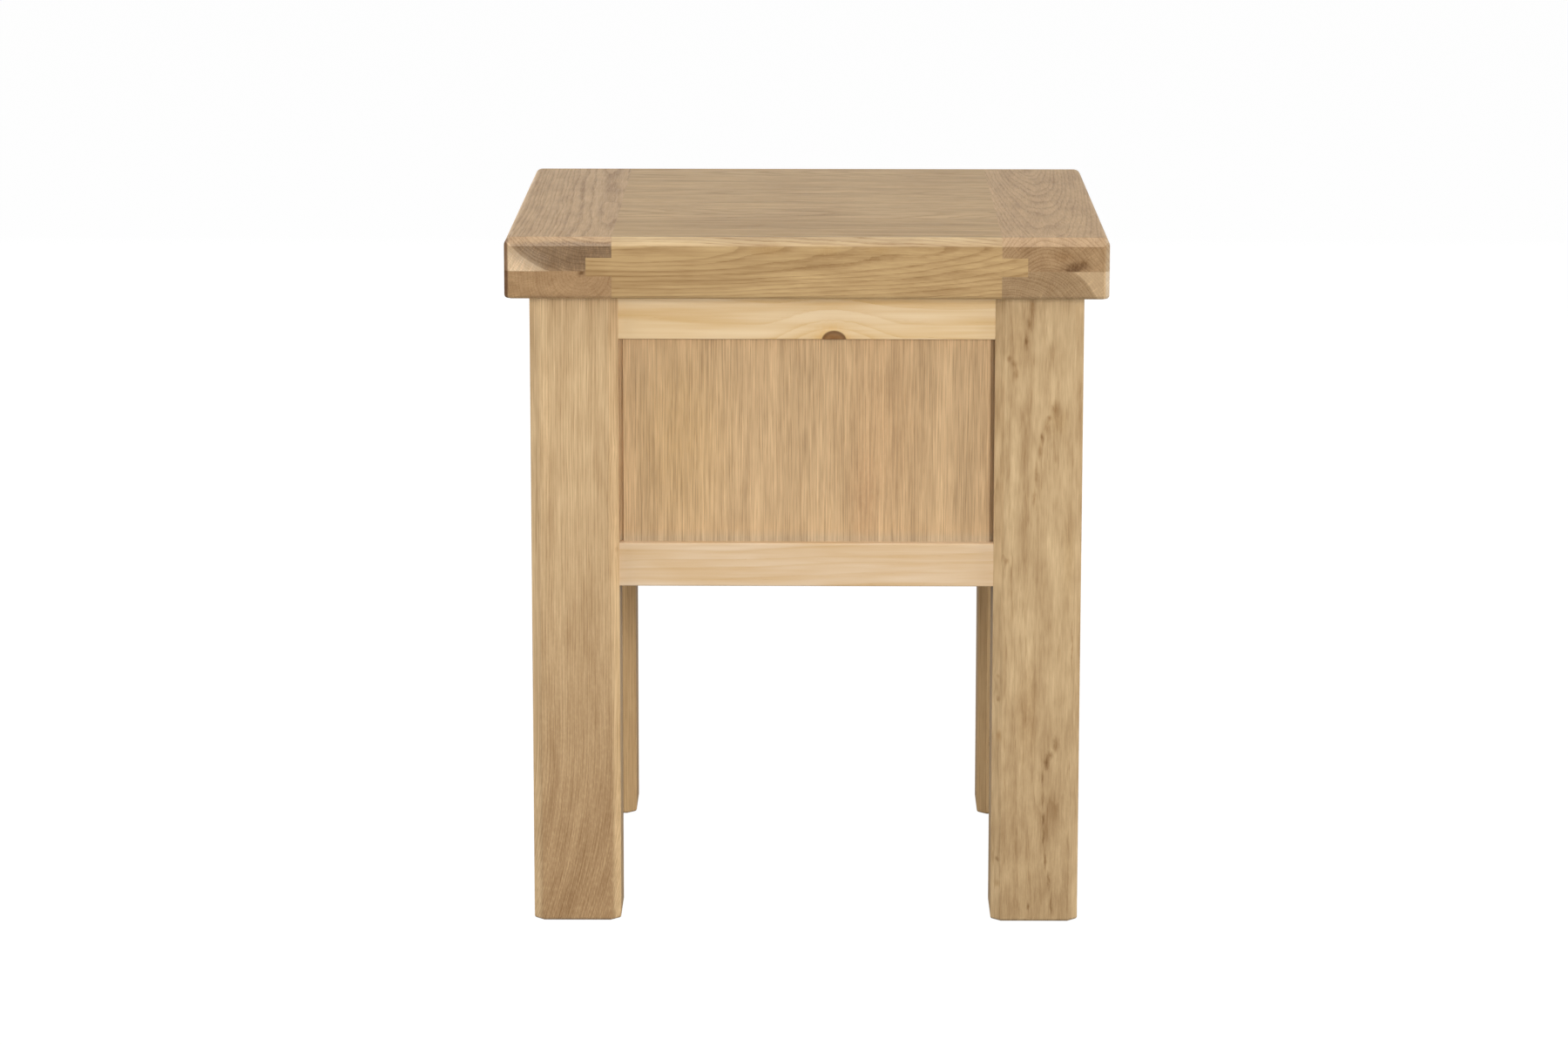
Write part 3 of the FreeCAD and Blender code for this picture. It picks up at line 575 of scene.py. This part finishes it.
LEG_BACK_LEFT_MARKS_AND_SHADE = (
    crack(((-176, 502), (-174.5, 486), (-172, 474), (-170.5, 460)), LEG_FACE, 3.0, SMUDGE)
    + crack(((-156, 455), (-160, 451), (-163.5, 446), (-163, 436)), LEG_FACE, 2.6, SMUDGE)
    + crack(((-198, 420), (-190.3, 406), (-184.5, 394), (-183.7, 386)), LEG_FACE, 2.6, SMUDGE)
    + crack(((-183.7, 386), (-181, 373), (-178.5, 350), (-178, 335)), LEG_FACE, 1.6, SMUDGE)
    + crack(((-200, 151), (-194.6, 139), (-190.5, 132), (-188.5, 124)), LEG_FACE, 2.4, CRACK)
    + crack(((-187.2, 124), (-186.7, 109), (-188.2, 91)), LEG_FACE, 1.2, CRACK)
    + crack(((-188.2, 91), (-187.7, 77), (-188.6, 60)), LEG_FACE, 1.2, CRACK)
    + crack(((-188.6, 60), (-190.8, 42), (-194.5, 24), (-195.4, 4)), LEG_FACE, 1.3, CRACK)
    + (
        Mark((-171, LEG_FACE, 468), (2.4, 12, 6), SMUDGE, rings=0.4),
        Mark((-189.5, LEG_FACE, 406), (3, 12, 4), SMUDGE, rings=0.4),
        Mark((-184, LEG_FACE, 392), (1.8, 12, 5), SMUDGE),
        Mark((-190, LEG_FACE, 131), (2.6, 12, 5), SMUDGE, rings=0.4),
        Mark((-197, LEG_FACE, 404), (11, 30, 17), (0.90, 0.86, 0.79, 1)),
        Mark((-165, LEG_FACE, 470), (14, 30, 40), (0.93, 0.90, 0.86, 1)),
        Mark((-206, LEG_FACE, 295), (8, 30, 60), (0.92, 0.89, 0.84, 1)),
        Mark((-175, LEG_FACE, 170), (14, 30, 60), (0.93, 0.89, 0.84, 1)),
        Mark((-209.2, LEG_FACE, 223), (0.9, 10, 34), SMUDGE),
        Mark((-151.5, 203, 181), (2.6, 12, 3.4), SMUDGE, rings=0.5),
        Mark((-151.5, 203, 199), (2.4, 12, 3), BROWN_STAIN, rings=0.5),
        Mark((-152, 203, 151), (3, 12, 8), (0.80, 0.70, 0.58, 1)),
        Mark((-152, 203, 51), (2.8, 12, 3), CRACK, rings=0.5),
        Mark((-152, 203, 31), (4, 12, 4), BROWN_STAIN),
        Mark((-157, LEG_FACE, 292), (3, 12, 3), BROWN_STAIN, rings=0.4),
        Mark((-177, LEG_FACE, 12), (1.7, 8, 4), CRACK),
        # Painted shade, darker towards the foot
        Mark((-181, LEG_FACE, -60), (500, 4, 400), (0.86, 0.83, 0.80, 1)),
    )
)

# The panel's last mark is painted shade: a cooler band along its foot that takes out the orange
# light bounced onto it from the pine rail below
BACK_PANEL_MARKS_AND_SHADE = (
    Mark((-60, PANEL_FACE, 390), (50, 30, 150), (0.94, 0.90, 0.87, 1)),
    Mark((-45, PANEL_FACE, 340), (18, 30, 60), (0.95, 0.90, 0.88, 1)),
    Mark((100, PANEL_FACE, 385), (60, 30, 120), (1.02, 1.0, 0.92, 1)),
    # Painted shade against the orange light bounced up from the rail
    Mark((0, PANEL_FACE, 304), (700, 30, 12), (0.84, 0.95, 1.12, 1), ragged=False),
)

BACK_TOP_RAIL_MARKS = (
    Mark((-19, RAIL_FACE, 468), (20, 40, 15), (0.97, 0.86, 0.62, 1), rings=1.6),
    Mark((-21.3, RAIL_FACE, 466.0), (10.3, 40, 8.3), (0.27, 0.21, 0.19, 1), soft=0.14, ragged=False),
    Mark((-21.3, RAIL_FACE, 465.2), (9.0, 40, 7.4), (1.45, 1.5, 1.6, 1), soft=0.3, ragged=False),
    Mark((-21.3, RAIL_FACE, 464.5), (6.0, 40, 4.6), (0.86, 0.84, 0.84, 1), soft=0.4, ragged=False),
)

# The plank's last mark is a painted sheen: a paler, cooler band along its upper chamfer, where it
# reflects the light from above
PLANK_4_MARKS_AND_SHEEN = (
    Mark((30, TOP_FACE, 541), (22, 40, 7), (0.94, 0.90, 0.83, 1), rings=0.8),
    Mark((-16, TOP_FACE, 540), (14, 40, 6), (0.95, 0.92, 0.86, 1), rings=0.8),
    Mark((-56, TOP_FACE, 541), (14, 40, 6), (0.95, 0.92, 0.86, 1), rings=0.8),
    # Painted sheen on the upper chamfer
    Mark((0, 221, 548.5), (900, 14, 8), (0.96, 1.02, 1.11, 1), ragged=False),
)

# The boards, by the node they belong to. The farther a pith is from its board, the straighter
# the lines on the board's faces are.
OAK_BOARDS = {
    "top_plank_1": oak_board(
        "X", (-190, 470), 2.6, tilt=(0.02, 0.03), tone=TOP_TONE, streaks=2.2, mottle=1.0,
        marks=(Mark((-86, -164, 550), (6, 4, 20), CRACK, rings=1.0),),
    ),
    "top_plank_2": oak_board(
        "X", (-60, 600), 2.3, tilt=(0.0, -0.04), tone=TOP_TONE, streaks=2.4, mottle=1.0
    ),
    "top_plank_3": oak_board(
        "X", (75, 640), 2.5, tilt=(0.02, 0.05), tone=TOP_TONE, streaks=2.4, mottle=1.0,
        marks=(Mark((0, 47, 550), (60, 1.3, 20), BROWN_STAIN),),
    ),
    "top_plank_4": oak_board(
        "X", (262, 549), 2.4, bend=(-0.00022, 0.0), middle=100.0, tone=(0.89, 0.88, 0.81),
        ring_contrast=0.55, line_contrast=0.4, streaks=2.3, mottle=0.8, marks=PLANK_4_MARKS_AND_SHEEN,
    ),
    "top_end_right_upper": oak_board(
        "Y", (163, 613), 2.3, sapwood=94.0, tone=(0.93, 0.91, 0.92), mottle=1.2, line_length=30.0,
        streaks=1.4, ring_contrast=0.7, pore_contrast=0.25, marks=(
            Mark((183, 226, 541), (62, 6, 24), (0.66, 0.66, 0.70, 1), soft=0.5),
            Mark((222, 226, 528), (28, 6, 22), (1.3, 1.42, 1.6, 1), soft=0.6),
            # Painted shade on the corner flat
            corner_mark(233.5, PAINTED_SHADE_CORNER),
        ),
    ),
    "top_end_right_lower": oak_board(
        "Y", (174, 523), 2.5, tone=(1.02, 0.98, 0.96), ring_contrast=0.3, mottle=0.9,
        marks=(
            Mark((174, TOP_FACE, 522.5), (5, 300, 3.5), DARK_KNOT),
            # Painted shade on the corner flat
            corner_mark(233.5, PAINTED_SHADE_CORNER),
        ),
    ),
    "top_end_left_upper": oak_board(
        "Y", (-190, 523), 2.5, tilt=(0.0, 0.06), tone=(0.92, 0.89, 0.87), mottle=1.0,
        line_length=24.0, ring_contrast=0.6, pore_contrast=0.25, streaks=1.5, marks=(
            Mark((-208, TOP_FACE, 528), (15, 25, 5.5), DARK_KNOT, rings=1.5),
            Mark((-203, TOP_FACE, 525), (11, 25, 2.4), DARK_KNOT),
            Mark((-214, TOP_FACE, 531), (6, 25, 4.5), SMUDGE),
            Mark((-198, TOP_FACE, 536), (14, 25, 6), BROWN_STAIN, rings=0.8),
            # Painted light on the corner flat
            corner_mark(-233.5, PAINTED_LIGHT_CORNER),
        ),
    ),
    "top_end_left_lower": oak_board(
        "Y", (-150, 455), 2.4, sapwood=88.0, tone=(0.89, 0.90, 0.92), mottle=1.2,
        # Painted light on the corner flat
        marks=(corner_mark(-233.5, PAINTED_LIGHT_CORNER),),
    ),
    "leg_back_right": oak_board(
        "Z", (60, 200), 2.0, tone=(1.18, 1.24, 1.36), bend=(-0.0011, 0.0), middle=150.0,
        bent_below_only=True, ring_contrast=0.5, pore_contrast=0.28, line_contrast=0.62,
        line_length=30.0, streaks=1.7, mottle=0.8,
        marks=LEG_BACK_RIGHT_MARKS_AND_SHADE,
    ),
    "leg_back_left": oak_board(
        "Z", (-190, 120), 2.6, wander=20.0, tone=(1.05, 1.11, 1.20), ring_contrast=0.3,
        line_contrast=0.45, line_length=14.0, streaks=1.8, mottle=1.6, marks=LEG_BACK_LEFT_MARKS_AND_SHADE,
    ),
    # This leg's tone is painted light: it lightens the whole leg where the near leg shades it
    "leg_front_right": oak_board("Z", (240, -100), 2.3, tone=(1.15, 1.15, 1.15)),
    "leg_front_left": oak_board("Z", (-100, -260), 2.3),
    "front_top_rail": oak_board("X", (-170, 400), 2.3),
    "front_bottom_rail": oak_board("X", (-150, 330), 2.3),
    "left_top_rail": oak_board("Y", (-150, 420), 2.3),
    "left_bottom_rail": oak_board("Y", (-260, 240), 2.3),
    "right_top_rail": oak_board("Y", (260, 430), 2.3),
    "right_bottom_rail": oak_board("Y", (150, 260), 2.3),
    "back_panel": oak_board(
        "Z", (900, 300), 2.2, dark=PANEL_DARK, tone=PANEL_TONE, ripple=3.0, ring_contrast=0.25,
        pore_contrast=0.4, line_contrast=0.9, line_length=44.0, streaks=1.7, mottle=0.8,
        marks=BACK_PANEL_MARKS_AND_SHADE,
    ),
    "left_panel": oak_board(
        "Z", (-300, 700), 2.2, dark=PANEL_DARK, tone=PANEL_TONE, ring_contrast=0.2, line_length=24.0
    ),
    "right_panel": oak_board(
        "Z", (300, -700), 2.2, dark=PANEL_DARK, tone=PANEL_TONE, ring_contrast=0.2, line_length=24.0
    ),
    "drawer_front": oak_board("X", (-120, 380), 2.4),
    "drawer_knob": oak_board("Y", (60, 360), 2.4),
}

PINE_BOARDS = {
    "back_top_rail": pine_board(
        "X", (150, 520), 9.0, tone=(1.08, 1.14, 1.24), wander=34.0, ring_contrast=0.65,
        streaks=2.8, marks=BACK_TOP_RAIL_MARKS,
    ),
    "back_bottom_rail": pine_board(
        "X", (230, 230), 7.0, tone=(0.96, 1.0, 1.18), wander=30.0, ripple=3.0, ring_contrast=0.45,
        line_length=24.0, streaks=1.8,
    ),
    "runner_left": pine_board("Y", (-200, 240)),
    "runner_right": pine_board("Y", (100, 340)),
    "guide_left": pine_board("Y", (-120, 260)),
    "guide_right": pine_board("Y", (190, 280)),
    "kicker_left": pine_board("Y", (-100, 430)),
    "kicker_right": pine_board("Y", (170, 440)),
    "closing_stop_left": pine_board("X", (-190, 280)),
    "closing_stop_right": pine_board("X", (-140, 340)),
    "opening_stop": pine_board("X", (-200, 440)),
    "drawer_side_left": pine_board("Y", (-190, 350), 4.0),
    "drawer_side_right": pine_board("Y", (60, 420), 4.0),
    "drawer_back": pine_board("X", (220, 330), 4.0),
    "drawer_bottom": pine_board(
        "X", (0, 250), 14.0, tone=(1.04, 1.10, 1.25), ring_contrast=0.15, line_length=70.0
    ),
}


ZINC_DARK = (0.56, 0.55, 0.5, 1)
ZINC_LIGHT = (0.72, 0.71, 0.68, 1)
ZINC_PATCH = 0.004
ZINC_PATCH_RANGE = (0.3, 0.7)
ZINC_ROUGHNESS = (0.28, 0.42)


def plain_metal(name):
    """Zinc plated steel."""
    material = bpy.data.materials.new(name)
    material.use_nodes = True
    shader = material.node_tree.nodes["Principled BSDF"]
    sheet = Sheet(material.node_tree)
    spot = sheet.add("ShaderNodeTexCoord").outputs["Object"]
    patches = sheet.noise(sheet.scaled(spot, ZINC_PATCH, ZINC_PATCH, ZINC_PATCH), detail=4.0)
    rough = sheet.ramp(patches, *ZINC_PATCH_RANGE, *ZINC_ROUGHNESS)
    sheet.feed(shader.inputs["Base Color"], sheet.blend(patches, ZINC_DARK, ZINC_LIGHT))
    sheet.feed(shader.inputs["Roughness"], rough)
    shader.inputs["Metallic"].default_value = 1.0
    return material


def finish_node(node, material):
    """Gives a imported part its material."""
    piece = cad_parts[node]
    for slot in piece.material_slots:
        slot.material = material


# How far apart two boards' noises are, for each step of the seed
SHIFT_STEP = (137.0, 61.0, 911.0)
PINE_SEED = 10


def finish_woods():
    """Gives each wooden node a board of its own, with its own noise."""
    groups = ((make_oak_group(), OAK_BOARDS, 0), (make_pine_group(), PINE_BOARDS, PINE_SEED))
    for group, boards, first_seed in groups:
        for seed, (node, board) in enumerate(boards.items(), first_seed):
            shift = tuple(step * seed for step in SHIFT_STEP)
            finish_node(node, wood_material(f"{node}_wood", group, board, shift))


def finish_screws():
    steel = plain_metal("zinc_plated_steel")
    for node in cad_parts:
        if node.endswith("screws") or node.endswith("screw"):
            finish_node(node, steel)


# Floor, light and camera

def make_floor():
    """A wide pale floor, almost white to the camera, with only a faint shadow, and clear from
    below."""
    bpy.ops.mesh.primitive_circle_add(
        vertices=FLOOR_SIDES, radius=FLOOR_RADIUS, fill_type="NGON", location=(0, 0, -FLOOR_DROP)
    )
    floor = bpy.context.object
    floor.name = "floor"
    material = bpy.data.materials.new("pale_floor")
    material.use_nodes = True
    tree = material.node_tree
    tree.nodes.clear()
    sheet = Sheet(tree)
    paint = sheet.add("ShaderNodeBsdfDiffuse", None, {"Color": FLOOR_SEEN_PAINT}).outputs[0]
    glow = sheet.add("ShaderNodeEmission", None, {"Strength": FLOOR_SEEN_GLOW}).outputs[0]
    seen = sheet.add("ShaderNodeAddShader", None, {0: paint, 1: glow}).outputs[0]
    bounce = sheet.add("ShaderNodeBsdfDiffuse", None, {"Color": FLOOR_BOUNCE}).outputs[0]
    direct = sheet.add("ShaderNodeLightPath").outputs["Is Camera Ray"]
    both = sheet.add("ShaderNodeMixShader", None, {0: direct, 1: bounce, 2: seen}).outputs[0]
    below = sheet.add("ShaderNodeNewGeometry").outputs["Backfacing"]
    clear = sheet.add("ShaderNodeBsdfTransparent").outputs[0]
    surface = sheet.add("ShaderNodeMixShader", None, {0: below, 1: both, 2: clear}).outputs[0]
    output = sheet.add("ShaderNodeOutputMaterial")
    tree.links.new(surface, output.inputs["Surface"])
    floor.data.materials.append(material)


def make_world():
    """White surroundings that give less light than the camera sees."""
    world = bpy.data.worlds.new("studio")
    bpy.context.scene.world = world
    world.use_nodes = True
    sheet = Sheet(world.node_tree)
    background = world.node_tree.nodes["Background"]
    background.inputs["Color"].default_value = (1, 1, 1, 1)
    direct = sheet.add("ShaderNodeLightPath").outputs["Is Camera Ray"]
    strength = sheet.ramp(direct, 0.0, 1.0, WORLD_LIGHT, WORLD_SEEN, "LINEAR")
    sheet.feed(background.inputs["Strength"], strength)


class Lamp(NamedTuple):
    """An area light, with its width and height as its size."""

    place: tuple
    aim: tuple
    size: tuple
    watts: float
    in_gloss: bool = True


LAMPS = {
    "key": Lamp((-0.6, 3.1, 0.95), (0, 0, 0.35), (2.0, 1.0), watts=61, in_gloss=False),
    "overhead": Lamp((0, 0.5, 2.4), (0, 0, 0.3), (1.8, 1.3), watts=24),
    "side_right": Lamp((2.5, 0.8, 0.9), (0, 0, 0.3), (1.2, 1.2), watts=31, in_gloss=False),
    "side_left": Lamp((-2.5, 0.8, 0.9), (0, 0, 0.3), (1.2, 1.2), watts=29, in_gloss=False),
    "front_key": Lamp((0.6, -3.1, 0.95), (0, 0, 0.35), (2.0, 1.0), watts=66, in_gloss=False),
    "backdrop": Lamp((0, -3.6, 1.25), (0, 0, 0.5), (7.0, 2.3), watts=27),
}


def make_lights():
    for name, lamp in LAMPS.items():
        light = bpy.data.lights.new(name, "AREA")
        light.shape = "RECTANGLE"
        light.size, light.size_y = lamp.size
        light.energy = lamp.watts
        holder = bpy.data.objects.new(name, light)
        bpy.context.scene.collection.objects.link(holder)
        holder.location = lamp.place
        holder.rotation_mode = "QUATERNION"
        facing = Vector(lamp.aim) - Vector(lamp.place)
        holder.rotation_quaternion = facing.to_track_quat("-Z", "Y")
        holder.visible_camera = False
        holder.visible_glossy = lamp.in_gloss


def make_camera():
    camera = bpy.data.cameras.new("camera")
    camera.lens = CAMERA_LENS_MM
    camera.sensor_width = CAMERA_SENSOR_MM
    holder = bpy.data.objects.new("camera", camera)
    bpy.context.scene.collection.objects.link(holder)
    facing = (CAMERA_AIM - CAMERA_PLACE).to_track_quat("-Z", "Y")
    holder.location = CAMERA_PLACE
    roll = Matrix.Rotation(CAMERA_ROLL, 3, "Z")
    holder.rotation_euler = (facing.to_matrix() @ roll).to_euler()
    bpy.context.scene.camera = holder


make_camera()
make_floor()
make_world()
make_lights()
finish_woods()
finish_screws()
bpy.context.scene.view_settings.view_transform = "Standard"
